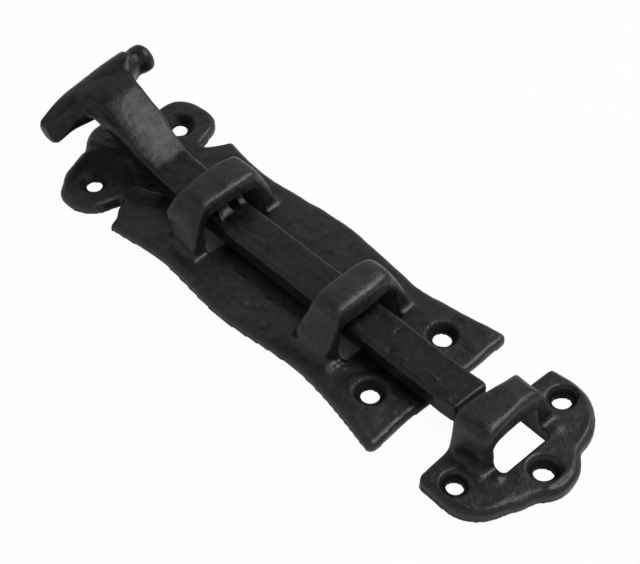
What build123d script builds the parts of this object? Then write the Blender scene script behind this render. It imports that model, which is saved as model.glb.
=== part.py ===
import os
from math import cos, radians, sin

from build123d import *

os.makedirs("parts", exist_ok=True)

# Frame: origin on the back face, midway between the two front screw holes,
# +X along the bolt towards its tip, +Z away from the door.

# Screw holes, all for the same countersunk wood screw
screw_hole_d = 5.5
countersink_d = 9.6
countersink_angle = 90
front_hole_gap = 29.4
rear_hole_gap = 35.2
hole_span = 117.7

# Flat bar of the sliding bolt
bar_width = 13.4
bar_thickness = 6.7
bar_edge_bevel = 0.9
bar_rest_gap = 0.4
tip_x = 24.6
tip_draw = 0.9
tip_taper = 8.0
tip_bevel = 0.9

# Two loops cast on the back plate, in which the bar slides
front_loop_x = -21.9
rear_loop_x = -78.6
bar_side_gap = 3.1
bar_headroom = 2.3
loop_flare = 1.6
loop_roof = 6.9
loop_shoulder = 1.2
loop_foot = 5.9
loop_foot_length = 14.2
loop_top_length = 10.4
loop_opening_radius = 2.6
loop_shoulder_radius = 3.0
loop_edge_radius = 1.2
loop_foot_radius = 1.8
window_lead = 1.6
window_corner_radius = 0.8

# Back plate outline: rim round the loops, rounded ears and a middle lobe behind
plate_thickness = 3.4
plate_bevel = 1.1
plate_rim = 5.5
plate_bulge = 2.4
front_margin = 13.6
front_dip = 0.9
front_corner_margin = 13.7
flank_margin = 11.5
flank_run = 11.8
front_corner_radius = 1.8
shoulder_flare = 2.1
shoulder_lead = 15.8
shoulder_radius = 1.4
notch_angle = -4.0
notch_radius = 0.8
ear_radius = 10.9
lobe_radius = 11.0
lobe_reach = 19.3
lobe_blend = 4.0

# Shank that rises from the bar to the grip
shank_lead = 9.4
shank_neck_width = 17.4
shank_sections = 5
heel_run = 21.5
heel_rise = 4.8
knee_run = 30.5
knee_rise = 10.1
crown_run = 47.3
crown_rise = 12.6
crown_width = 23.0
crown_thickness = 7.0
crown_shift = 2.0
crown_edge_bevel = 1.8

# Cross grip, set a little askew on the shank
grip_run = 47.3
grip_height = 17.2
grip_tilt = 9.0
grip_middle_radius = 6.3
near_arm_length = 20.6
near_arm_flank = 11.5
near_flank_radius = 5.4
near_end_radius = 4.4
far_arm_length = 20.4
collar_reach = 14.6
collar_radius = 5.9
stub_radius = 4.6
far_end_radius = 4.2
grip_end_bevel = 1.0
collar_bevel = 0.5

# Two burrs raised on the bar, which stop it at the rear loop
burr_catch = 0.6
burr_ramp = 1.4
burr_gap = 0.3
near_burr_y = -1.9
near_burr_length = 5.2
far_burr_y = 4.9
far_burr_length = 2.6

# Keep: staple plate for the door frame, in line with the bolt
keep_distance = 4.8
keep_thickness = 4.4
keep_bevel = 1.4
keep_side_gap = 2.8
keep_headroom = 1.1
keep_slot_run = 16.2
keep_slot_radius = 2.0
staple_roof = 6.0
staple_leg = 5.3
staple_shoulder = 2.4
staple_foot_run = 12.0
staple_top_run = 9.8
staple_opening_radius = 2.0
staple_shoulder_radius = 3.6
staple_edge_radius = 3.0
staple_foot_radius = 1.6
keep_hole_clear = 6.5
keep_hole_run = 9.3
keep_nose_wall = 6.0
keep_lobe_margin = 6.3
keep_corner_radius = 2.0
keep_cheek_run = 10.8
keep_cheek_radius = 13.1
keep_nose_radius = 8.3
keep_blend = 10.0

# Band in which the edges of a seam are looked for
seam_band = 0.01

hole_r = screw_hole_d / 2
sink_r = countersink_d / 2
rear_hole_x = -hole_span
bar_bottom = plate_thickness + bar_rest_gap
bar_top = bar_bottom + bar_thickness
bar_middle = bar_bottom + bar_thickness / 2


def share_of_way(start, end, share):
    return start + (end - start) * share


def tapered(foot, top, low, high):
    return (-foot / 2, low), (-top / 2, high), (top / 2, high), (foot / 2, low)


def edges_at_height(builder, height):
    return builder.edges().filter_by_position(Axis.Z, height - seam_band, height + seam_band)


# Loop, built once at the origin of its foot
loop_opening_width = bar_width + 2 * bar_side_gap
loop_opening_foot = loop_opening_width + 2 * loop_flare
loop_opening_top = bar_top + bar_headroom
loop_height = loop_opening_top + loop_roof
loop_top_width = loop_opening_width + 2 * loop_shoulder
loop_foot_width = loop_opening_foot + 2 * loop_foot
with BuildPart() as loop:
    with BuildSketch(Plane.YZ) as front_view:
        with BuildLine():
            Polyline(*tapered(loop_foot_width, loop_top_width, plate_thickness, loop_height), close=True)
        make_face()
        fillet(front_view.vertices().group_by(Axis.Y)[-1], loop_shoulder_radius)
    extrude(amount=loop_foot_length / 2, both=True)
    with BuildSketch(Plane.XZ) as side_view:
        with BuildLine():
            Polyline(*tapered(loop_foot_length, loop_top_length, plate_thickness, loop_height), close=True)
        make_face()
        fillet(side_view.vertices().group_by(Axis.Y)[-1], loop_edge_radius)
    extrude(amount=loop_foot_width / 2, both=True, mode=Mode.INTERSECT)
    with BuildSketch(Plane.YZ) as opening:
        with BuildLine():
            Polyline(
                *tapered(loop_opening_foot, loop_opening_width, plate_thickness, loop_opening_top),
                close=True,
            )
        make_face()
        fillet(opening.vertices().group_by(Axis.Y)[-1], loop_opening_radius)
    extrude(amount=loop_foot_length, both=True, mode=Mode.SUBTRACT)

# Back plate with its two loops, one casting
waist_half = loop_foot_width / 2 + plate_rim
shoulder_half = waist_half + shoulder_flare
shoulder_x = rear_hole_x + shoulder_lead
notch_x = rear_hole_x + ear_radius * cos(radians(notch_angle))
notch_y = rear_hole_gap / 2 + ear_radius * sin(radians(notch_angle))
with BuildPart() as backplate:
    with BuildSketch() as plate_face:
        with BuildLine():
            front_edge = Spline(
                (front_margin, 0),
                (front_margin - front_dip, front_hole_gap / 2),
                (front_margin - front_dip / 2, front_hole_gap / 2 + front_corner_margin),
                tangents=((0, 1), (0, 1)),
            )
            side_edge = Spline(
                front_edge @ 1,
                (front_margin - flank_run, front_hole_gap / 2 + flank_margin),
                (front_loop_x, waist_half),
                ((front_loop_x + rear_loop_x) / 2, waist_half + plate_bulge),
                (rear_loop_x, waist_half),
                (shoulder_x, shoulder_half),
            )
            Polyline(
                side_edge @ 1,
                (notch_x, notch_y),
                (rear_hole_x, rear_hole_gap / 2),
                (rear_hole_x, 0),
            )
            mirror(about=Plane.XZ)
        make_face()
        with Locations((rear_hole_x, rear_hole_gap / 2), (rear_hole_x, -rear_hole_gap / 2)):
            Circle(ear_radius)
        with Locations((rear_hole_x - lobe_reach + lobe_radius, 0)):
            Circle(lobe_radius)
        lobe_zone = (rear_hole_x - lobe_reach, rear_hole_x - ear_radius / 2)
        fillet(plate_face.vertices().filter_by_position(Axis.X, *lobe_zone), lobe_blend)
        notch_zone = (rear_hole_x, shoulder_x - shoulder_radius)
        fillet(plate_face.vertices().filter_by_position(Axis.X, *notch_zone), notch_radius)
    extrude(amount=plate_thickness)
    fillet(backplate.edges().filter_by(Axis.Z).group_by(Axis.X)[-1], front_corner_radius)
    shoulder_zone = (shoulder_x - shoulder_radius, shoulder_x + shoulder_radius)
    fillet(backplate.edges().filter_by(Axis.Z).filter_by_position(Axis.X, *shoulder_zone), shoulder_radius)
    chamfer(backplate.faces().sort_by(Axis.Z)[-1].outer_wire().edges(), plate_bevel)
    with Locations((front_loop_x, 0, 0), (rear_loop_x, 0, 0)):
        add(loop.part)
    loop_zone = (rear_loop_x - loop_foot_length, front_loop_x + loop_foot_length)
    foot_edges = edges_at_height(backplate, plate_thickness)
    foot_edges = foot_edges.filter_by_position(Axis.X, *loop_zone)
    inner_half = loop_opening_foot / 2 + seam_band
    foot_half = loop_foot_width / 2 + plate_rim / 2
    near_foot_edges = foot_edges.filter_by_position(Axis.Y, -foot_half, -inner_half)
    far_foot_edges = foot_edges.filter_by_position(Axis.Y, inner_half, foot_half)
    fillet(near_foot_edges + far_foot_edges, loop_foot_radius)
    with BuildSketch() as windows:
        with Locations((front_loop_x, 0), (rear_loop_x, 0)):
            Rectangle(loop_foot_length + 2 * window_lead, loop_opening_foot)
        fillet(windows.vertices(), window_corner_radius)
    extrude(amount=plate_thickness, mode=Mode.SUBTRACT)
    with Locations(
        (0, front_hole_gap / 2, plate_thickness),
        (0, -front_hole_gap / 2, plate_thickness),
        (rear_hole_x, rear_hole_gap / 2, plate_thickness),
        (rear_hole_x, -rear_hole_gap / 2, plate_thickness),
    ):
        CounterSinkHole(hole_r, sink_r, plate_thickness, countersink_angle)
backplate.part.label = "backplate"
export_step(backplate.part, "parts/backplate.step")

# Sliding bolt: bar, shank and grip, one casting, with the burrs raised on it
shank_root_x = rear_loop_x - shank_lead
grip_x = shank_root_x - grip_run
burr_height = bar_headroom + burr_catch
opening_share = (loop_opening_top - plate_thickness) / (loop_height - plate_thickness)
loop_front = share_of_way(loop_foot_length, loop_top_length, opening_share) / 2
burr_x = rear_loop_x + loop_front + burr_gap
with BuildPart() as sliding_bolt:
    with BuildSketch(Plane.YZ.offset(shank_root_x)) as bar_section:
        with Locations((0, bar_middle)):
            Rectangle(bar_width, bar_thickness)
        chamfer(bar_section.vertices(), bar_edge_bevel)
    extrude(amount=tip_x - shank_root_x)
    with BuildSketch(Plane.XY.offset(bar_bottom)):
        with BuildLine():
            Polyline(
                (tip_x - tip_taper, bar_width / 2),
                (tip_x, bar_width / 2 - tip_draw),
                (tip_x, bar_width / 2),
                close=True,
            )
        make_face()
        mirror(about=Plane.XZ)
    extrude(amount=bar_thickness, mode=Mode.SUBTRACT)
    chamfer(sliding_bolt.faces().sort_by(Axis.X)[-1].edges(), tip_bevel)
    with BuildLine(mode=Mode.PRIVATE) as shank_line:
        Spline(
            (shank_root_x, 0, bar_middle),
            (shank_root_x - heel_run, 0, bar_middle + heel_rise),
            (shank_root_x - knee_run, 0, bar_middle + knee_rise),
            (shank_root_x - crown_run, 0, bar_middle + crown_rise),
            tangents=((-1, 0, 0), (-1, 0, 0)),
        )
    spine = shank_line.line
    for section in range(shank_sections):
        share = section / shank_sections
        width = share_of_way(bar_width, shank_neck_width, share)
        thickness = share_of_way(bar_thickness, crown_thickness, share)
        with BuildSketch(Plane(origin=spine @ share, x_dir=(0, 1, 0), z_dir=spine % share)) as shank_section:
            Rectangle(width, thickness)
            chamfer(shank_section.vertices(), bar_edge_bevel)
    grip_axis = (0, cos(radians(grip_tilt)), sin(radians(grip_tilt)))
    with BuildSketch(Plane(origin=spine @ 1, x_dir=grip_axis, z_dir=spine % 1)) as crown_section:
        with Locations((crown_shift, 0)):
            Rectangle(crown_width, crown_thickness)
        chamfer(crown_section.vertices(), crown_edge_bevel)
    loft()
    grip_middle = (grip_x, 0, grip_height)
    with BuildPart(mode=Mode.PRIVATE) as grip:
        with BuildSketch(Plane(origin=grip_middle, x_dir=grip_axis, z_dir=(1, 0, 0))):
            with BuildLine():
                arm = Spline(
                    (-near_arm_length, near_end_radius),
                    (-near_arm_flank, near_flank_radius),
                    (0, grip_middle_radius),
                    (collar_reach, collar_radius),
                )
                Polyline(
                    arm @ 1,
                    (collar_reach, stub_radius),
                    (far_arm_length, far_end_radius),
                    (far_arm_length, 0),
                    (-near_arm_length, 0),
                    arm @ 0,
                )
            make_face()
        across = Axis(grip_middle, grip_axis)
        revolve(axis=across)
        near_end, collar, far_end = grip.faces().filter_by(GeomType.PLANE).sort_by(across)
        chamfer(near_end.edges() + far_end.edges(), grip_end_bevel)
        collar = grip.faces().filter_by(GeomType.PLANE).sort_by(across)[1]
        chamfer(collar.outer_wire().edges(), collar_bevel)
    add(grip.part)
    for burr_y, burr_length in ((near_burr_y, near_burr_length), (far_burr_y, far_burr_length)):
        with BuildSketch(Plane.XZ.offset(-burr_y)):
            with BuildLine():
                Polyline(
                    (burr_x, bar_top - bar_edge_bevel),
                    (burr_x, bar_top + burr_height),
                    (burr_x + burr_ramp, bar_top),
                    (burr_x + burr_ramp, bar_top - bar_edge_bevel),
                    close=True,
                )
            make_face()
        extrude(amount=burr_length / 2, both=True)
sliding_bolt.part.label = "sliding_bolt"
export_step(sliding_bolt.part, "parts/sliding_bolt.step")

# Keep with its staple, one casting
keep_rear_x = tip_x + keep_distance
keep_opening_width = bar_width + 2 * keep_side_gap
keep_opening_top = bar_top + keep_headroom
staple_height = keep_opening_top + staple_roof
staple_foot_width = keep_opening_width + 2 * staple_leg
staple_top_width = keep_opening_width + 2 * staple_shoulder
keep_hole_half = staple_foot_width / 2 + keep_hole_clear
keep_lobe_half = keep_hole_half + keep_lobe_margin
keep_nose_x = keep_rear_x + keep_slot_run + keep_nose_wall
cheek_x = keep_rear_x + keep_cheek_run
cheek_y = keep_lobe_half - keep_cheek_radius
with BuildPart() as keep:
    with BuildSketch() as keep_face:
        with Locations((keep_rear_x + keep_cheek_run / 2, 0)):
            Rectangle(keep_cheek_run, 2 * keep_lobe_half)
        with Locations((cheek_x, cheek_y), (cheek_x, -cheek_y)):
            Circle(keep_cheek_radius)
        with Locations((keep_nose_x, 0)):
            Circle(keep_nose_radius)
        with Locations(((cheek_x + keep_nose_x) / 2, 0)):
            Rectangle(keep_nose_x - cheek_x, keep_nose_radius)
        with Locations((keep_rear_x - keep_cheek_radius / 2, 0)):
            Rectangle(keep_cheek_radius, 2 * keep_lobe_half, mode=Mode.SUBTRACT)
        blend_zone = (cheek_x + keep_cheek_radius / 2, keep_nose_x + keep_nose_radius)
        fillet(keep_face.vertices().filter_by_position(Axis.X, *blend_zone), keep_blend)
    extrude(amount=keep_thickness)
    rim_edges = keep.faces().sort_by(Axis.Z)[-1].outer_wire().edges().sort_by(Axis.X)
    chamfer(rim_edges[1:], keep_bevel)
    fillet(keep.edges().filter_by(Axis.Z).group_by(Axis.X)[0], keep_corner_radius)
    with BuildPart(mode=Mode.PRIVATE) as staple:
        with BuildSketch(Plane.YZ.offset(keep_rear_x)) as staple_front:
            with BuildLine():
                Polyline(
                    *tapered(staple_foot_width, staple_top_width, keep_thickness, staple_height),
                    close=True,
                )
            make_face()
            fillet(staple_front.vertices().group_by(Axis.Y)[-1], staple_shoulder_radius)
            with Locations((0, keep_thickness / 2)):
                Rectangle(staple_foot_width, keep_thickness)
        extrude(amount=staple_foot_run)
        with BuildSketch(Plane.XZ) as staple_side:
            with BuildLine():
                Polyline(
                    (keep_rear_x, 0),
                    (keep_rear_x, staple_height),
                    (keep_rear_x + staple_top_run, staple_height),
                    (keep_rear_x + staple_foot_run, keep_thickness),
                    (keep_rear_x + staple_foot_run, 0),
                    close=True,
                )
            make_face()
            fillet(staple_side.vertices().group_by(Axis.Y)[-1], staple_edge_radius)
        extrude(amount=staple_foot_width / 2, both=True, mode=Mode.INTERSECT)
    add(staple.part)
    staple_zone = (keep_rear_x + seam_band, keep_rear_x + staple_foot_run + seam_band)
    foot_edges = edges_at_height(keep, keep_thickness).filter_by_position(Axis.X, *staple_zone)
    foot_half = staple_foot_width / 2 + seam_band
    fillet(foot_edges.filter_by_position(Axis.Y, -foot_half, foot_half), staple_foot_radius)
    with BuildSketch(Plane.YZ.offset(keep_rear_x)) as mouth:
        with Locations((0, keep_opening_top / 2)):
            Rectangle(keep_opening_width, keep_opening_top)
        fillet(mouth.vertices().group_by(Axis.Y)[-1], staple_opening_radius)
    extrude(amount=keep_slot_run, mode=Mode.SUBTRACT)
    slot_front = keep_rear_x + keep_slot_run
    slot_corners = keep.edges().filter_by(Axis.Z).filter_by_position(Axis.X, slot_front, slot_front)
    fillet(slot_corners, keep_slot_radius)
    with Locations(
        (keep_rear_x + keep_hole_run, keep_hole_half, keep_thickness),
        (keep_rear_x + keep_hole_run, -keep_hole_half, keep_thickness),
        (keep_nose_x, 0, keep_thickness),
    ):
        CounterSinkHole(hole_r, sink_r, keep_thickness, countersink_angle)
keep.part.label = "keep"
export_step(keep.part, "parts/keep.step")
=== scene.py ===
# Black iron door bolt: plate with two cast loops, sliding bar with a cross grip, and its keep
import math

import bpy
import numpy as np
from mathutils import Matrix, Vector


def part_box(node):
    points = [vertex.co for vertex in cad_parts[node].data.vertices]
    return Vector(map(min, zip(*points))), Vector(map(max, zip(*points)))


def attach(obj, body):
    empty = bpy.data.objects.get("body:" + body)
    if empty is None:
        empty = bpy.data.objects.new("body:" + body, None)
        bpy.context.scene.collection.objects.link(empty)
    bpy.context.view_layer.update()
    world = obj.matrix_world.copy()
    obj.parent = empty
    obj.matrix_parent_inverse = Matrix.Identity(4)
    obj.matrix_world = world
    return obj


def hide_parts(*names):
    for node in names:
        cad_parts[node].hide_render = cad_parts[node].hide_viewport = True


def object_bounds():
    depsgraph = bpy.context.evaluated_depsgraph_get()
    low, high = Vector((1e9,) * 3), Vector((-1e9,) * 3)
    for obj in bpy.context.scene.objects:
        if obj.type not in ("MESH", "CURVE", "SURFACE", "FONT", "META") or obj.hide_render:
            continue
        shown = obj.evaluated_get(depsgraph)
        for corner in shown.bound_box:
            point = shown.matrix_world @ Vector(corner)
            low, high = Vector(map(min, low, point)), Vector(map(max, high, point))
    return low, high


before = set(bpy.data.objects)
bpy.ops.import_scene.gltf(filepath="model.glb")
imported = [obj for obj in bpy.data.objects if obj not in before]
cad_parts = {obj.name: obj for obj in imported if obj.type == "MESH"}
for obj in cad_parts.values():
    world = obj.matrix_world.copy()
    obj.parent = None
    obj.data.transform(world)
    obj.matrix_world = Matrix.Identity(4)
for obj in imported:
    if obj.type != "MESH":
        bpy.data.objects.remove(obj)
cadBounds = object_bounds()
scene = bpy.context.scene
scene.view_settings.view_transform = "Standard"
mm = 0.001
print("frame loaded:", sorted(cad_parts))


def hexColour(code):
    parts = [int(code[i:i + 2], 16) / 255 for i in (1, 3, 5)]
    linear = [c / 12.92 if c <= 0.04045 else ((c + 0.055) / 1.055) ** 2.4 for c in parts]
    return (*linear, 1.0)


def addNode(tree, kind, inputs=None, **settings):
    node = tree.nodes.new(kind)
    for name, value in settings.items():
        setattr(node, name, value)
    for name, value in (inputs or {}).items():
        if isinstance(value, bpy.types.NodeSocket):
            tree.links.new(value, node.inputs[name])
        else:
            node.inputs[name].default_value = value
    return node


# Satin black paint brushed on cast iron: a nearly black body, mottled where the paint lies thick
# or thin over the sand grain, a soft sheen, and greyer paint on rubbed edges
# The grey of rubbed edges is also laid along given lines as painted light: painted highlights, and shade
# painted paler
castPaint = {
    "body": "#080809",
    "patch": "#1a1a1b",
    # grey of rubbed edges, also the colour of the painted highlights and of the painted light over shade
    "rubbedAndPaintedLightGrey": "#39393b",
    "ior": 1.5,
    "roughness": (0.26, 0.42),
    "patchBand": (0.88, 1.12),  # part of the two noises, summed, that runs from body to patch
    "sheenBand": (0.3, 0.7),  # part of the brush noise that runs from glossy to dull
    "patchSize": 8.0,  # mm
    "mottleSize": 2.1,  # mm
    "grainSize": 1.0,  # mm, moulding sand
    "grainDepth": 0.08,  # mm
    "brushSize": 3.0,  # mm, thick and thin paint
    "brushDepth": 0.20,  # mm
}
# The same paint on iron that was dressed on a wheel: thinner, smoother and more even
dressedPaint = dict(
    castPaint, body="#060607", patch="#151516", ior=1.43, grainDepth=0.06, brushDepth=0.16)

# Dull black in the countersinks: hardly any sheen, and darker colours that are painted shade, so the
# sinks look deep
sinkLookWithPaintedShade = dict(castPaint, body="#070708", patch="#0f0f10", ior=1.27, roughness=(0.42, 0.55))
noiseDetail = {"patch": 4.0, "mottle": 4.0, "brush": 3.0, "grain": 2.0}
noiseRoughness = 0.6


def satinBlackPaint(name, look):
    material = bpy.data.materials.new(name)
    material.use_nodes = True
    tree = material.node_tree
    tree.nodes.clear()
    place = addNode(tree, "ShaderNodeTexCoord").outputs["Object"]
    noises = {}
    for layer, detail in noiseDetail.items():
        noises[layer] = addNode(tree, "ShaderNodeTexNoise", {
            "Vector": place, "Scale": 1 / (look[layer + "Size"] * mm), "Detail": detail,
            "Roughness": noiseRoughness}).outputs[0]
    # share of that grey: rubbed edges, and lines of painted light
    wearAndPaintedLightShare = addNode(tree, "ShaderNodeAttribute", attribute_name="edgeWearAndPaintedLight").outputs["Fac"]
    both = addNode(tree, "ShaderNodeMath", {0: noises["patch"], 1: noises["mottle"]}, operation="ADD")
    share = addNode(tree, "ShaderNodeMapRange", {
        "Value": both.outputs[0], "From Min": look["patchBand"][0], "From Max": look["patchBand"][1]})
    colour = addNode(tree, "ShaderNodeMix", {
        0: share.outputs[0], 6: hexColour(look["body"]), 7: hexColour(look["patch"])}, data_type="RGBA")
    paintedLightAndWear = addNode(tree, "ShaderNodeMix", {
        0: wearAndPaintedLightShare, 6: colour.outputs[2], 7: hexColour(look["rubbedAndPaintedLightGrey"])}, data_type="RGBA")
    sheen = addNode(tree, "ShaderNodeMapRange", {
        "Value": noises["brush"], "From Min": look["sheenBand"][0], "From Max": look["sheenBand"][1],
        "To Min": look["roughness"][0], "To Max": look["roughness"][1]})
    wave = addNode(tree, "ShaderNodeBump", {
        "Height": noises["brush"], "Distance": look["brushDepth"] * mm, "Strength": 1.0})
    grit = addNode(tree, "ShaderNodeBump", {
        "Height": noises["grain"], "Distance": look["grainDepth"] * mm, "Strength": 1.0,
        "Normal": wave.outputs["Normal"]})
    shader = addNode(tree, "ShaderNodeBsdfPrincipled", {
        "Base Color": paintedLightAndWear.outputs[2], "Roughness": sheen.outputs[0], "Normal": grit.outputs["Normal"],
        "IOR": look["ior"], "Metallic": 0.0})
    addNode(tree, "ShaderNodeOutputMaterial", {"Surface": shader.outputs[0]})
    return material


noiseGain = 4.0  # a noise swings by about a quarter of its range, so four times that is the depth


# Cast skin: shallow hollows and ripples that a sand mould leaves, none on the flat back
def castSkinTree():
    tree = bpy.data.node_groups.new("castSkin", "GeometryNodeTree")
    tree.interface.new_socket("Geometry", in_out="INPUT", socket_type="NodeSocketGeometry")
    for name in ("Hollow Depth", "Hollow Size", "Ripple Depth", "Ripple Size",
                 "Grit Depth", "Grit Size", "Flat Back", "Seed"):
        tree.interface.new_socket(name, in_out="INPUT", socket_type="NodeSocketFloat")
    tree.interface.new_socket("Finish", in_out="INPUT", socket_type="NodeSocketMaterial")
    tree.interface.new_socket("Geometry", in_out="OUTPUT", socket_type="NodeSocketGeometry")
    given = addNode(tree, "NodeGroupInput").outputs
    place = addNode(tree, "GeometryNodeInputPosition").outputs[0]
    swell = 0.0
    for layer in ("Hollow", "Ripple", "Grit"):
        scale = addNode(tree, "ShaderNodeMath", {0: 1.0, 1: given[layer + " Size"]}, operation="DIVIDE")
        noise = addNode(tree, "ShaderNodeTexNoise", {
            "Vector": place, "W": given["Seed"], "Scale": scale.outputs[0], "Detail": 1.0},
            noise_dimensions="4D")
        centred = addNode(tree, "ShaderNodeMath", {0: noise.outputs[0], 1: 0.5}, operation="SUBTRACT")
        deep = addNode(tree, "ShaderNodeMath", {
            0: given[layer + " Depth"], 1: noiseGain}, operation="MULTIPLY")
        swell = addNode(tree, "ShaderNodeMath", {
            0: centred.outputs[0], 1: deep.outputs[0], 2: swell}, operation="MULTIPLY_ADD").outputs[0]
    height = addNode(tree, "ShaderNodeSeparateXYZ", {0: place}).outputs["Z"]
    clear = addNode(tree, "ShaderNodeMapRange", {
        "Value": height, "From Min": 0.0, "From Max": given["Flat Back"]},
        interpolation_type="SMOOTHSTEP")
    masked = addNode(tree, "ShaderNodeMath", {0: swell, 1: clear.outputs[0]}, operation="MULTIPLY")
    normal = addNode(tree, "GeometryNodeInputNormal").outputs[0]
    offset = addNode(tree, "ShaderNodeVectorMath", {
        0: normal, "Scale": masked.outputs[0]}, operation="SCALE")
    moved = addNode(tree, "GeometryNodeSetPosition", {
        "Geometry": given["Geometry"], "Offset": offset.outputs[0]})
    smooth = addNode(tree, "GeometryNodeSetShadeSmooth", {"Geometry": moved.outputs[0]})
    real = addNode(tree, "GeometryNodeRealizeInstances", {"Geometry": smooth.outputs[0]})
    painted = addNode(tree, "GeometryNodeSetMaterial", {
        "Geometry": real.outputs[0], "Material": given["Finish"]})
    addNode(tree, "NodeGroupOutput", {"Geometry": painted.outputs[0]})
    return tree


castSkin = castSkinTree()

weldGap = 0.005  # mm
backFade = 0.8  # mm above the flat back in which marks fade out
easeStep = 0.6  # part of the way to the neighbours' mean in one pass
easeCore, fileCore = 1.6, 2.2  # over 1, so that the middle of a region gets the full effect
rubSoftening = 6  # passes


def readPoints(mesh):
    points = np.empty(len(mesh.vertices) * 3, np.float32)
    mesh.vertices.foreach_get("co", points)
    return points.reshape(-1, 3).astype(float)


def readNormals(mesh):
    normals = np.empty(len(mesh.vertices) * 3, np.float32)
    mesh.vertex_normals.foreach_get("vector", normals)
    return normals.reshape(-1, 3).astype(float)


# 1 at a place, or along a line from "at" to "to", fading over the reach on each axis
def softWeight(points, mark):
    start = np.array(mark["at"], float) * mm
    run = np.array(mark.get("to", mark["at"]), float) * mm - start
    along = np.clip((points - start) @ run / max(run @ run, 1e-12), 0, 1)
    away = (points - start - along[:, None] * run) / (np.array(mark["reach"], float) * mm)
    return np.exp(-(away ** 2).sum(1))


def offTheBack(points):
    return np.clip(points[:, 2] / (backFade * mm), 0, 1)


def meanOfNeighbours(mesh):
    edges = np.empty(len(mesh.edges) * 2, np.int32)
    mesh.edges.foreach_get("vertices", edges)
    a, b = edges.reshape(-1, 2).T
    total = len(mesh.vertices)
    count = np.bincount(a, minlength=total) + np.bincount(b, minlength=total)

    def mean(values):
        columns = values.reshape(total, -1).T
        sums = [np.bincount(a, c[b], total) + np.bincount(b, c[a], total) for c in columns]
        return (np.array(sums) / count).T.reshape(values.shape)

    return mean


def writePoints(mesh, points):
    mesh.vertices.foreach_set("co", points.astype(np.float32).ravel())
    mesh.update()


# Edges that the pattern maker filed round: each region is eased for a number of passes
def easeRegions(mesh, regions):
    mean = meanOfNeighbours(mesh)
    for region in regions:
        points = readPoints(mesh)
        weight = np.minimum(easeCore * softWeight(points, region), 1) * offTheBack(points)
        for _ in range(region["passes"]):
            points += easeStep * weight[:, None] * (mean(points) - points)
        writePoints(mesh, points)


# Marks of this one casting: push is mm along the normals, or a vector in mm. The back stays flat
def pressMarks(mesh, marks):
    for mark in marks:
        points = readPoints(mesh)
        weight = softWeight(points, mark)[:, None]
        lift = offTheBack(points)
        push = np.array(mark["push"], float) * mm
        if push.ndim == 0:
            points += weight * lift[:, None] * push * readNormals(mesh)
        else:
            sideways = np.ones_like(lift)
            points += weight * push * np.stack([sideways, sideways, lift], 1)
        writePoints(mesh, points)


# Flats left by a file: points that stand beyond the plane are brought back to it
def fileFlats(mesh, flats):
    for flat in flats:
        points = readPoints(mesh)
        normal = np.array(flat["normal"], float)
        normal /= np.linalg.norm(normal)
        beyond = np.maximum((points - np.array(flat["plane"], float) * mm) @ normal, 0)
        weight = np.minimum(fileCore * softWeight(points, flat), 1)
        writePoints(mesh, points - (weight * beyond)[:, None] * normal)


# A piece that lies a little askew: turned about one place in the plane of the door
def setAskew(mesh, degrees, about):
    points = readPoints(mesh)
    turn = math.radians(degrees)
    x, y = (points[:, :2] - np.array(about) * mm).T
    points[:, 0] += (math.cos(turn) - 1) * x - math.sin(turn) * y
    points[:, 1] += (math.cos(turn) - 1) * y + math.sin(turn) * x
    writePoints(mesh, points)


# How far a point stands out from its neighbours, as a share of full: where hands and cloths rub. The
# given lines add painted light to the same share
def markWearAndPaintedLight(mesh, full, lines):
    mean = meanOfNeighbours(mesh)
    points = readPoints(mesh)
    bulge = ((points - mean(points)) * readNormals(mesh)).sum(1)
    for _ in range(rubSoftening):
        bulge = (bulge + mean(bulge)) / 2
    wearAndPaintedLightShare = np.clip(bulge / (full * mm), 0, 1)
    # painted highlights, and painted light over shade, along the given lines
    for line in lines:
        wearAndPaintedLightShare = np.maximum(wearAndPaintedLightShare, line["wearAndPaintedLightShare"] * softWeight(points, line))
    attribute = mesh.attributes.new("edgeWearAndPaintedLight", "FLOAT", "POINT")
    attribute.data.foreach_set("value", wearAndPaintedLightShare.astype(np.float32))


# The faces round each screw hole get the dull paint with its painted shade
def paintSinks(mesh, holes, radius):
    mesh.materials.append(dullPaintWithPaintedShade)
    centres = np.empty(len(mesh.polygons) * 3, np.float32)
    mesh.polygons.foreach_get("center", centres)
    centres = centres.reshape(-1, 3) / mm
    inside = np.zeros(len(centres), np.int32)
    for hole in holes:
        inside[np.hypot(*(centres[:, :2] - np.array(hole)).T) < radius] = 1
    mesh.polygons.foreach_set("material_index", inside)


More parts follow.
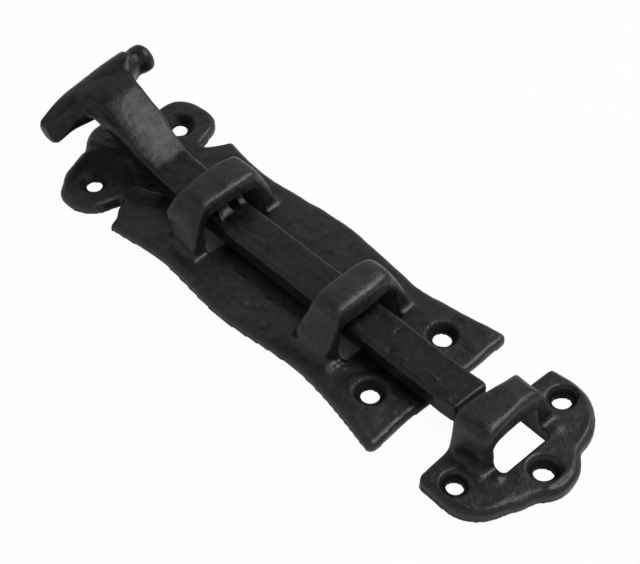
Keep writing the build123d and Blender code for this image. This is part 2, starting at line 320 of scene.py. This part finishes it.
def castPiece(name, node, body, look, finish):
    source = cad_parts[node]
    piece = bpy.data.objects.new(name, source.data.copy())
    scene.collection.objects.link(piece)
    piece.data.materials.clear()
    weld = piece.modifiers.new("weld", "WELD")
    weld.merge_threshold = weldGap * mm
    remesh = piece.modifiers.new("remesh", "REMESH")
    remesh.mode = "VOXEL"
    remesh.voxel_size = look["voxel"] * mm
    smooth = piece.modifiers.new("smooth", "SMOOTH")
    smooth.factor = 0.5
    smooth.iterations = look["smoothing"]
    skin = piece.modifiers.new("skin", "NODES")
    skin.node_group = castSkin
    sockets = {s.name: s.identifier for s in castSkin.interface.items_tree if s.in_out == "INPUT"}
    for socket, value in look["skin"].items():
        skin[sockets[socket]] = value * (1.0 if socket == "Seed" else mm)
    skin[sockets["Finish"]] = finish
    evaluated = piece.evaluated_get(bpy.context.evaluated_depsgraph_get())
    mesh = bpy.data.meshes.new_from_object(evaluated)
    mesh.name = name
    piece.modifiers.clear()
    piece.data = mesh
    if look["holes"]:
        paintSinks(mesh, look["holes"], look["sinkRadius"])
    setAskew(mesh, *look["askew"])
    pressMarks(mesh, look["shifts"])
    fileFlats(mesh, look["flats"])
    easeRegions(mesh, look["eased"])
    pressMarks(mesh, look["marks"])
    low, high = (np.array(corner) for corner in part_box(node))  # the piece stays in the CAD model's box
    proud = look["proud"] * mm
    low = np.maximum(low - proud, np.array(cadBounds[0]))
    high = np.minimum(high + proud, np.array(cadBounds[1]))
    writePoints(mesh, np.clip(readPoints(mesh), low, high))
    markWearAndPaintedLight(mesh, look["rubFull"], look["paintedLightAndWear"])
    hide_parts(node)
    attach(piece, body)
    print(name, "points", len(mesh.vertices), "faces", len(mesh.polygons))


roughPaint = satinBlackPaint("satinBlackPaintOnCastIron", castPaint)
barPaint = satinBlackPaint("satinBlackPaintOnDressedIron", dressedPaint)
dullPaintWithPaintedShade = satinBlackPaint("dullBlackPaintWithPaintedShadeInCountersinks", sinkLookWithPaintedShade)

# Places are in mm, as in the drawing: x along the bolt, y across, z away from the door
frontLoop, rearLoop = -21.9, -78.6


# Shoulders and roof of a loop take their own number of passes, the legs a few each
def loopEasing(x, near, far, roof):
    legs = 14
    return [
        {"at": (x - 5, -12, 17.5), "to": (x + 5, -12, 17.5), "reach": (4, 5, 5), "passes": near},
        {"at": (x - 5, 12, 17.5), "to": (x + 5, 12, 17.5), "reach": (4, 5, 5), "passes": far},
        {"at": (x, -6, 19.7), "to": (x, 6, 19.7), "reach": (8, 6, 3), "passes": roof},
        {"at": (x, 13.5, 5), "to": (x, 12, 14), "reach": (8, 4, 5), "passes": legs},
        {"at": (x, -13.5, 5), "to": (x, -12, 14), "reach": (8, 4, 5), "passes": legs},
    ]


def speck(x, y, z, size, height):
    return {"at": (x, y, z), "reach": (size, size, size), "push": height}


# A line of painted light: the rubbed grey laid along it, as a painted highlight or over shade
def paintedLightLine(start, end, size, wearAndPaintedLightShare):
    return {"at": start, "to": end, "reach": (size, size, size), "wearAndPaintedLightShare": wearAndPaintedLightShare}


def ridge(start, end, size, height):
    return {"at": start, "to": end, "reach": (size, size, size), "push": height}


backplateLook = {
    "voxel": 0.5,  # mm
    "smoothing": 3,  # passes
    "rubFull": 0.095,  # mm of bulge at which the paint is rubbed through
    "proud": 1.0,  # mm that the piece may stand past its node's own box
    "askew": (0.0, (0, 0)),  # degrees, about x and y
    "holes": ((0, -14.7), (0, 14.7), (-117.7, -17.6), (-117.7, 17.6)),
    "sinkRadius": 5.0,
    "skin": {"Hollow Depth": 0.24, "Hollow Size": 14.0, "Ripple Depth": 0.13, "Ripple Size": 5.0,
             "Grit Depth": 0.03, "Grit Size": 2.0, "Flat Back": 1.6, "Seed": 3.0},
    "shifts": [
        # channel under the bar
        {"at": (-104, 0, 3.4), "to": (16, 0, 3.4), "reach": (7, 9, 2.2), "push": (0, 0, -0.8)},
        # short rear foot, swollen legs
        {"at": (rearLoop - 7.5, -15.5, 4), "reach": (4, 6, 4), "push": (2.6, 0, 0)},
        {"at": (rearLoop - 6.5, -13.5, 14.5), "reach": (6.5, 6, 5), "push": (-0.8, -3.0, 0.6)},
        {"at": (rearLoop + 6, -14, 9), "reach": (5, 5, 8), "push": (0, -0.8, 0)},
        {"at": (frontLoop, -16.5, 6), "reach": (14, 5, 6), "push": (0, -1.2, 0.2)},
        {"at": (rearLoop, 12.5, 12), "reach": (9, 4, 5), "push": (0, 0.9, 0.2)},
        {"at": (frontLoop, 12.5, 12), "reach": (9, 4, 5), "push": (0, 0.9, 0.2)},
        # high mouths, the rear one undercut
        {"at": (rearLoop + 7, 0, 12.8), "reach": (4, 10, 3), "push": (-1.0, 0, 1.4)},
        {"at": (frontLoop + 7, 0, 12.8), "reach": (4, 10, 2.5), "push": (0, 0, 0.8)},
        # roofs that fall to the front
        {"at": (rearLoop - 3, 0, 19.7), "reach": (7, 12, 4), "push": (-0.5, 0, 0.7)},
        {"at": (rearLoop + 5, 0, 19.7), "reach": (5, 14, 4), "push": (0, 0, -0.3)},
        {"at": (frontLoop + 5, 0, 19.7), "reach": (5, 14, 4), "push": (0, 0, -0.25)},
        # deep notches
        {"at": (-105.8, -18.3, 1.7), "reach": (2.2, 2.2, 6), "push": (0.4, 2.4, 0)},
        {"at": (-103.6, -20.8, 1.7), "reach": (1.8, 2.4, 6), "push": (1.2, 0, 0)},
        {"at": (-102.8, -23.6, 1.7), "reach": (2.4, 3, 6), "push": (1.6, 0, 0)},
        {"at": (-104, 23, 1.7), "reach": (3, 5, 6), "push": (1.2, 0, 0)},
        {"at": (-107.2, 18.8, 1.7), "reach": (1.8, 1.8, 6), "push": (0, -1.6, 0)},
        {"at": (-107.6, 20.6, 1.7), "reach": (2.2, 2.6, 6), "push": (0, -2.6, 0)},
        # filled corner by the lobe, lean near ear, broad far ear
        {"at": (-128, -12.5, 1.7), "reach": (3.6, 3.6, 6), "push": (-2.2, -0.6, 0)},
        {"at": (-125.8, -25, 1.7), "reach": (3, 5, 6), "push": (1.2, 0.5, 0)},
        {"at": (-124.5, 25, 1.7), "reach": (7, 7, 6), "push": (-1.7, 0.8, 0)},
        {"at": (-115, 26, 1.7), "reach": (4.5, 4, 6), "push": (0.3, 1.1, 0)},
        {"at": (-107.5, 24, 1.7), "reach": (2.2, 4, 6), "push": (-0.9, -0.3, 0)},
        # uneven sides and front corners
        {"at": (-92, 25, 1.7), "to": (-58, 24, 1.7), "reach": (12, 5, 6), "push": (0, 0.7, 0)},
        {"at": (-42, 21.5, 1.7), "to": (-27, 21, 1.7), "reach": (8, 6, 6), "push": (0, 1.2, 0)},
        {"at": (-93, -26, 1.7), "reach": (9, 5, 6), "push": (0, -1.7, 0)},
        {"at": (14, -22, 1.7), "reach": (7, 8, 6), "push": (0.9, -0.8, 0)},
        {"at": (13.5, 15, 1.7), "reach": (5, 8, 6), "push": (0.8, 0, 0)},
        # short rear window, tight holes in the ears
        {"at": (-69.9, -8, 1.7), "reach": (2, 6, 5), "push": (-0.9, 0, 0)},
        {"at": (-117.7, -17.6, 1.2), "reach": (3.2, 3.2, 1.6), "push": 0.7},
        {"at": (-117.7, 17.6, 1.2), "reach": (3.2, 3.2, 1.6), "push": 0.7},
    ],
    "flats": [],
    "eased": loopEasing(frontLoop, 28, 60, 14) + loopEasing(rearLoop, 40, 14, 4) + [
        # front edge and near foot of the front loop, far notch
        {"at": (frontLoop + 5.2, -8, 19), "to": (frontLoop + 5.2, 10, 19),
         "reach": (3, 3, 3), "passes": 10},
        {"at": (frontLoop - 8, -18.4, 3.8), "to": (frontLoop + 5, -18.4, 3.8),
         "reach": (4, 3.4, 2.6), "passes": 70},
        {"at": (-108.6, 19, 3), "reach": (2, 3.5, 2), "passes": 20},
    ],
    "marks": [
        speck(-73.2, -9.5, 18.6, 0.7, 0.35), speck(-73.4, -10.6, 17.9, 0.7, 0.30),
        speck(-72.9, -8.4, 18.8, 0.6, -0.25), speck(-73.0, -6.8, 19.0, 0.7, 0.22),
        speck(-48.7, -17.5, 3.4, 1.0, 0.40), speck(-45.7, -15.5, 3.4, 0.9, 0.34),
        speck(-44.5, -12.6, 3.4, 1.0, 0.25), speck(-38.9, -19.9, 3.4, 1.1, 0.30),
        speck(-52.5, -17.1, 3.4, 1.6, 0.22), speck(-41.0, -12.8, 3.4, 0.9, 0.20),
        speck(-13.0, -15.0, 4.0, 1.0, 0.55), speck(-13.0, -13.0, 4.0, 0.8, 0.40),
        speck(-11.2, -14.2, 3.6, 0.7, 0.30),
        speck(9.4, -14.9, 3.4, 0.9, 0.30), speck(11.4, -13.3, 3.2, 0.8, 0.30),
        ridge((-106.3, -10.6, 3.4), (-98.6, -7.1, 3.4), 0.9, 0.34),
        ridge((-117.0, -5.5, 3.4), (-108.0, -9.0, 3.4), 1.4, 0.22),
        ridge((-63.6, -13.0, 3.4), (-57.0, -11.5, 3.4), 0.9, 0.20),
        ridge((-109.6, -22.6, 3.4), (-107.4, -15.6, 3.4), 0.8, 0.22),
        ridge((-108.4, -22.9, 2.2), (-106.0, -17.2, 2.2), 1.2, -0.6),
        ridge((-132.5, -6.5, 3.4), (-125.5, -4.6, 3.4), 1.2, 0.20),
    ],
    # Painted light in the grey of rubbed paint: painted highlights, and shade painted paler
    "paintedLightAndWear": [
        # painted highlight along the rim of the near notch
        paintedLightLine((-109.6, -22.6, 3.4), (-107.4, -15.6, 3.4), 0.7, 0.8),
        # painted light over the shade on the lobe under the grip
        paintedLightLine((-131, -6, 3.4), (-117, -7, 3.4), 5.0, 0.7),
        # painted highlight along the ridge in front of the near ear
        paintedLightLine((-106.3, -10.6, 3.4), (-98.6, -7.1, 3.4), 0.8, 0.6),
        paintedLightLine((rearLoop - 1, -8, 19.5), (rearLoop - 1, 8, 19.5), 6.0, 0.25),  # painted light on the roofs of the loops
        paintedLightLine((frontLoop - 1, -8, 19.5), (frontLoop - 1, 8, 19.5), 6.0, 0.3),
        paintedLightLine((-64, -7.6, 3.0), (-30, -7.6, 3.0), 1.8, 0.35),  # painted light over the shade beside the bar
        # painted light along the far side of the plate
        paintedLightLine((-58, 19, 3.4), (-20, 19, 3.4), 6.0, 0.15),
    ],
}
castPiece("backplateCasting", "backplate", "fixed", backplateLook, roughPaint)

boltLook = {
    "voxel": 0.35,
    "smoothing": 3,
    "rubFull": 0.075,
    "proud": 0.3,
    "askew": (-0.25, (-75, 0)),
    "holes": (),
    "skin": {"Hollow Depth": 0.16, "Hollow Size": 12.0, "Ripple Depth": 0.10, "Ripple Size": 4.5,
             "Grit Depth": 0.018, "Grit Size": 1.8, "Flat Back": 1.6, "Seed": 7.0},
    "shifts": [
        # draft under the shank, filled corner between shank and near arm
        {"at": (-100, -8.5, 7.5), "to": (-128, -8, 16.5), "reach": (7, 3.5, 3), "push": (0, 1.2, 0)},
        {"at": (-125.8, -8.5, 16.8), "reach": (4.2, 4, 4.5), "push": (0.3, -1.9, -0.6)},
        {"at": (-129, -8.8, 19.6), "reach": (3.2, 2.6, 2.8), "push": (0, -1.2, 0.4)},
        # long near arm
        {"at": (-135.3, -21.5, 14), "reach": (9, 6, 9), "push": (1.1, -1.2, 0.5)},
        {"at": (-131, -13, 12), "reach": (6, 5, 4), "push": (0, 0, 0.8)},
        {"at": (-138, -11, 19), "reach": (8, 7, 6), "push": (-0.4, 0, 0.7)},
        # full crown and falling near edge
        {"at": (-125.5, 4, 22.5), "reach": (4.5, 10, 5), "push": (0, 0, 0.8)},
        {"at": (-101.5, 0, 11.8), "reach": (3.5, 9, 3), "push": (0, 0, -0.4)},
        {"at": (-121, -7.2, 21), "to": (-106, -7.2, 13.5), "reach": (4, 3, 3), "push": (0, 0, -0.7)},
        {"at": (-125, 10.5, 20), "to": (-116, 9, 16), "reach": (4, 3, 5), "push": (0, 0.6, 0.2)},
        # thick stub, low collar
        {"at": (-134, 17.2, 20.6), "reach": (6, 3.5, 6), "push": (-0.5, 0.5, 0.7)},
        {"at": (-134, 17.2, 20.6), "reach": (6, 3.5, 6), "push": 0.7},
        {"at": (-131, 13.7, 18), "reach": (3.6, 2.6, 5), "push": (-3.6, -0.5, 0.5)},
        # full tip, deep shank, burrs at the loop
        {"at": (24, 6, 8), "reach": (5, 4, 6), "push": (0.3, 0.8, 0)},
        {"at": (-120, -5, 13), "to": (-107, -5, 7), "reach": (5, 5, 2.5), "push": (0, 0, -2.0)},
        {"at": (-71.4, -1.9, 12.2), "to": (-71.4, 4.9, 12.2),
         "reach": (5.5, 4, 3), "push": (-3.4, 0, -0.3)},
    ],
    "flats": [
        # near arm, filed to a blunt end, and the collar's front
        {"at": (-136, -24, 17), "to": (-136, -15, 18), "reach": (9, 3.5, 8),
         "plane": (-136, -13.5, 19.9), "normal": (-0.05, -0.36, 0.93)},
        {"at": (-134, -24, 14), "to": (-133, -14, 15), "reach": (9, 3.5, 9),
         "plane": (-132, -14, 17.2), "normal": (0.78, -0.28, 0.56)},
        {"at": (-132, 14.2, 22), "reach": (6, 1.9, 6),
         "plane": (-132.6, 12.5, 23.3), "normal": (0.72, 0.2, 0.66)},
    ],
    "eased": [
        # crown into grip, near edge, collar into stub
        {"at": (-129, -9, 18), "reach": (5.5, 5, 6), "passes": 130},
        {"at": (-136, -9, 21), "reach": (6, 5, 4), "passes": 40},
        {"at": (-121, -6.8, 21), "to": (-105, -6.8, 13.2), "reach": (4, 2.4, 3), "passes": 25},
        {"at": (-132.5, 14, 19.5), "reach": (4.5, 2.6, 5), "passes": 50},
        {"at": (-129, -8.8, 19.8), "reach": (3.5, 3, 3.5), "passes": 90},
        # burrs
        {"at": (-74.6, -1.9, 11.7), "reach": (1.6, 3.4, 2.0), "passes": 6},
        {"at": (-74.6, 4.9, 11.7), "reach": (1.6, 2.2, 2.0), "passes": 6},
    ],
    "marks": [
        speck(-7.2, 2.4, 10.5, 0.9, 0.22), speck(-5.9, 1.6, 10.5, 0.8, -0.20),
        speck(-4.1, -4.9, 10.5, 1.0, 0.22), speck(-62.8, 4.3, 10.5, 0.8, 0.20),
        speck(-0.5, -6.5, 10.0, 0.9, -0.35),
        ridge((9.1, -2.6, 10.5), (13.2, -2.4, 10.5), 0.5, 0.16),
        ridge((13.2, -2.4, 10.5), (15.2, -3.4, 10.5), 0.5, 0.16),
        ridge((-61.9, -2.2, 10.5), (-57.7, -2.0, 10.5), 0.7, 0.12),
        ridge((-130, -6.6, 22.2), (-125.6, -6.6, 22.1), 0.9, -0.25),
        ridge((-125.6, -6.6, 22.1), (-118, -7.0, 20.2), 0.9, -0.35),
    ],
    # Painted light in the grey of rubbed paint: painted highlights, and shade painted paler
    "paintedLightAndWear": [
        # painted highlight along the near top edge of the shank
        paintedLightLine((-113, -7.1, 17.2), (-97, -7.0, 10.2), 0.7, 0.7),
        # painted highlight along the collar's edge by the stub
        paintedLightLine((-134.5, 12.8, 25), (-131, 13.4, 19), 0.7, 0.8),
        paintedLightLine((-123, 2, 21.5), (-112, 3, 17), 5.0, 0.45),  # painted highlight on the shank's upper face
        paintedLightLine((-62, -9.6, 7), (-32, -9.6, 7), 3.5, 0.35),  # painted light over the shade on the near side of the bar
    ],
}
castPiece("slidingBoltCasting", "sliding_bolt", "bolt", boltLook, barPaint)

keepLook = {
    "voxel": 0.3,
    "smoothing": 3,
    "rubFull": 0.065,
    "proud": 0.9,
    "askew": (-1.3, (30, 4)),
    "holes": ((38.7, -21.3), (38.7, 21.3), (51.6, 0)),
    "sinkRadius": 3.7,
    "skin": {"Hollow Depth": 0.12, "Hollow Size": 11.0, "Ripple Depth": 0.05, "Ripple Size": 4.0,
             "Grit Depth": 0.02, "Grit Size": 1.6, "Flat Back": 1.6, "Seed": 12.0},
    "shifts": [
        # arch that swells at its near end
        {"at": (29.4, -9, 15.5), "reach": (4, 8, 6), "push": (-1.0, -0.3, 1.0)},
        {"at": (40, -8.5, 16), "reach": (4, 7, 6), "push": (1.2, 0, 0)},
        {"at": (34, 11, 17), "reach": (8, 5, 5), "push": (0, -0.7, -0.85)},
        # full waists, wings not quite alike
        {"at": (56, 7.5, 2.2), "reach": (4.2, 6, 6), "push": (1.6, 1.6, 0)},
        {"at": (54, -11.5, 2.2), "reach": (4, 4, 6), "push": (1.5, -1.8, 0)},
        {"at": (30, -23, 2.2), "reach": (4, 6, 6), "push": (1.1, 0, 0)},
        {"at": (33, -26, 2.2), "reach": (8, 4, 6), "push": (0.4, 0.6, 0)},
        {"at": (36, 24, 2.2), "reach": (9, 7, 7), "push": (1.1, 0, 0)},
        {"at": (38, 27, 2.2), "reach": (6, 4, 6), "push": (0.3, 1.0, 0)},
        {"at": (48, 22, 2.2), "reach": (4, 4, 6), "push": (-0.3, -0.3, 0)},
        # holes a little off, high roof, thick near leg
        {"at": (39.5, 21.3, 2), "reach": (5, 5, 6), "push": (-0.9, 0.6, 0)},
        {"at": (38.7, -21.3, 2), "reach": (5, 5, 6), "push": (-0.4, 0.7, 0)},
        {"at": (33, -2, 17), "reach": (8, 9, 5), "push": (-0.2, 0, 0.8)},
        {"at": (39, -1, 16.5), "reach": (3.5, 9, 4), "push": (0.3, 0, 0.5)},
        {"at": (40.3, -10.5, 8), "reach": (4, 3.5, 6), "push": (0.8, 0.9, 0)},
    ],
    "flats": [
        {"at": (34.5, -6, 17.5), "to": (34.5, 6, 17.5), "reach": (9, 6, 4),
         "plane": (34, 0, 17.9), "normal": (-0.03, 0, 1)},
    ],
    "eased": [
        # worn rim
        {"at": (30, -27.6, 3), "to": (40, -27.6, 3), "reach": (3, 2.4, 2.4), "passes": 8},
        {"at": (42, -27, 3), "to": (52, -17, 3), "reach": (2.8, 2.8, 2.4), "passes": 8},
        {"at": (53, -14, 3), "to": (60, -3, 3), "reach": (2.8, 2.8, 2.4), "passes": 8},
        {"at": (60, 3, 3), "to": (53, 14, 3), "reach": (2.8, 2.8, 2.4), "passes": 8},
        # arch, worn near shoulder, legs into the plate
        {"at": (34.5, -9, 16.5), "to": (34.5, 9, 16.5), "reach": (8, 5, 4), "passes": 12},
        {"at": (33, -11, 15.5), "reach": (7, 4.5, 5), "passes": 45},
        {"at": (34.5, -12.5, 11), "to": (34.5, -13.5, 5), "reach": (8, 4, 4), "passes": 60},
        {"at": (34.5, 12.5, 11), "to": (34.5, 13.5, 5), "reach": (8, 4, 4), "passes": 60},
    ],
    "marks": [
        speck(36.2, -14.5, 6.9, 2.2, -0.60), speck(38.2, -10.6, 16.0, 1.6, -0.45),
        speck(45.0, -11.9, 4.6, 1.5, 0.45), speck(45.0, 12.4, 4.6, 1.5, 0.45),
        ridge((56.6, -4, 4.3), (56.8, 4.2, 4.2), 1.0, 0.2),
        ridge((56.8, 4.2, 4.2), (52.6, 14.1, 4.2), 1.0, 0.2),
        ridge((52.6, 14.1, 4.2), (48.8, 22.4, 4.3), 1.0, 0.2),
    ],
    "paintedLightAndWear": [],
}
castPiece("keepCasting", "keep", "fixed", keepLook, roughPaint)

# Plain pale paper under the object: white to the eye, with the shadow left in it
floorLook = {
    "half": 4.0,  # m
    "drop": 0.2,  # mm under the back
    "paper": "#f4f4f4",
    # grey of the patches under the loops: painted shade
    "paintedShade": "#949494",
    "cleanToEye": 0.96,
    "cleanInGloss": 0.08,
    "windows": (rearLoop, frontLoop),  # mm along x
    "windowHalf": (9.4, 11.8),  # mm
}


def paleFloor(look):
    half, z = look["half"], -look["drop"] * mm
    mesh = bpy.data.meshes.new("paperFloor")
    corners = [(-half, -half, z), (half, -half, z), (half, half, z), (-half, half, z)]
    wx, wy = (side * mm for side in look["windowHalf"])
    for x in (place * mm for place in look["windows"]):  # grey patches of painted shade under the loops
        corners += [(x - wx, -wy, z / 2), (x + wx, -wy, z / 2),
                    (x + wx, wy, z / 2), (x - wx, wy, z / 2)]
    mesh.from_pydata(corners, [], [tuple(range(i, i + 4)) for i in range(0, len(corners), 4)])
    floor = bpy.data.objects.new("paperFloor", mesh)
    scene.collection.objects.link(floor)
    material = bpy.data.materials.new("palePaper")
    material.use_nodes = True
    tree = material.node_tree
    tree.nodes.clear()
    path = addNode(tree, "ShaderNodeLightPath").outputs
    eye = addNode(tree, "ShaderNodeMath", {
        0: path["Is Camera Ray"], 1: look["cleanToEye"]}, operation="MULTIPLY")
    through = addNode(tree, "ShaderNodeMath", {
        0: path["Is Glossy Ray"], 1: path["Is Transmission Ray"]}, operation="MAXIMUM")
    gloss = addNode(tree, "ShaderNodeMath", {
        0: through.outputs[0], 1: look["cleanInGloss"]}, operation="MULTIPLY")
    share = addNode(tree, "ShaderNodeMath", {
        0: eye.outputs[0], 1: gloss.outputs[0]}, operation="MAXIMUM")
    paper = addNode(tree, "ShaderNodeBsdfDiffuse", {"Color": hexColour(look["paper"])})
    clean = addNode(tree, "ShaderNodeEmission", {"Color": (1, 1, 1, 1), "Strength": 1.0})
    mixed = addNode(tree, "ShaderNodeMixShader", {
        0: share.outputs[0], 1: paper.outputs[0], 2: clean.outputs[0]})
    addNode(tree, "ShaderNodeOutputMaterial", {"Surface": mixed.outputs[0]})
    paintedShade = bpy.data.materials.new("paperWithPaintedShade")
    paintedShade.use_nodes = True
    paintedShade.node_tree.nodes.clear()
    plain = addNode(paintedShade.node_tree, "ShaderNodeBsdfDiffuse", {"Color": hexColour(look["paintedShade"])})
    addNode(paintedShade.node_tree, "ShaderNodeOutputMaterial", {"Surface": plain.outputs[0]})
    mesh.materials.append(material)
    mesh.materials.append(paintedShade)
    mesh.polygons.foreach_set("material_index", [0] + [1] * (len(mesh.polygons) - 1))


paleFloor(floorLook)

# One large soft box, high to the right of the camera
highBoxLook = {
    "aim": (-41, 5, 8),  # mm
    "towards": (0.33, 0.46, 0.83),
    "distance": 1.3,  # m
    "size": (1.1, 0.8),  # m
    "radiance": 3.7,
}


def addSoftBox(name, look):
    lamp = bpy.data.lights.new(name, "AREA")
    lamp.shape = "RECTANGLE"
    lamp.size, lamp.size_y = look["size"]
    lamp.energy = look["radiance"] * math.pi * lamp.size * lamp.size_y
    box = bpy.data.objects.new(name, lamp)
    scene.collection.objects.link(box)
    towards = Vector(look["towards"]).normalized()
    box.location = Vector(look["aim"]) * mm + towards * look["distance"]
    box.rotation_euler = (-towards).to_track_quat("-Z", "Y").to_euler()


addSoftBox("highBox", highBoxLook)

# Dim room round it: paler walls, darker ceiling
roomLook = {
    "strength": 1.0,
    # height of the direction, grey
    "bands": ((0.0, "#a4a4a4"), (0.45, "#bebebe"), (0.70, "#c8c8c8"), (0.82, "#747474")),
}


def addRoom(look):
    world = bpy.data.worlds.new("dimRoom")
    scene.world = world
    world.use_nodes = True
    tree = world.node_tree
    tree.nodes.clear()
    towards = addNode(tree, "ShaderNodeTexCoord").outputs["Generated"]
    height = addNode(tree, "ShaderNodeSeparateXYZ", {0: towards}).outputs["Z"]
    ramp = addNode(tree, "ShaderNodeValToRGB", {"Fac": height})
    stops = ramp.color_ramp.elements
    bands = look["bands"]
    stops[0].position, stops[0].color = bands[0][0], hexColour(bands[0][1])
    stops[1].position, stops[1].color = bands[-1][0], hexColour(bands[-1][1])
    for place, grey in bands[1:-1]:
        stops.new(place).color = hexColour(grey)
    glow = addNode(tree, "ShaderNodeBackground", {
        "Color": ramp.outputs[0], "Strength": look["strength"]})
    addNode(tree, "ShaderNodeOutputWorld", {"Surface": glow.outputs[0]})


addRoom(roomLook)
print("floor and light placed")

# Camera of the photograph: long lens, above and in front on the right
cameraLook = {
    "target": (-41.16, 5.64, 0.0),  # mm
    "distance": 535.18,  # mm
    "azimuth": 46.17,  # degrees
    "elevation": 48.65,
    "roll": -0.41,
    "lens": 101.48,  # mm
    "sensor": 36.0,  # mm
    "clip": (0.01, 50.0),  # m
}


def addCamera(look):
    azimuth, elevation, roll = (math.radians(look[k]) for k in ("azimuth", "elevation", "roll"))
    flat = math.cos(elevation)
    back = Vector((math.sin(azimuth) * flat, -math.cos(azimuth) * flat, math.sin(elevation)))
    right = (-back).cross(Vector((0, 0, 1))).normalized()
    down = (-back).cross(right)
    turnedRight = right * math.cos(roll) - down * math.sin(roll)
    turnedDown = right * math.sin(roll) + down * math.cos(roll)
    lens = bpy.data.cameras.new("photoCamera")
    lens.sensor_fit = "HORIZONTAL"
    lens.sensor_width = look["sensor"]
    lens.lens = look["lens"]
    lens.clip_start, lens.clip_end = look["clip"]
    camera = bpy.data.objects.new("photoCamera", lens)
    scene.collection.objects.link(camera)
    turn = Matrix((turnedRight, -turnedDown, back)).transposed().to_4x4()
    place = (Vector(look["target"]) + back * look["distance"]) * mm
    camera.matrix_world = Matrix.Translation(place) @ turn
    scene.camera = camera


addCamera(cameraLook)

bpy.context.view_layer.update()
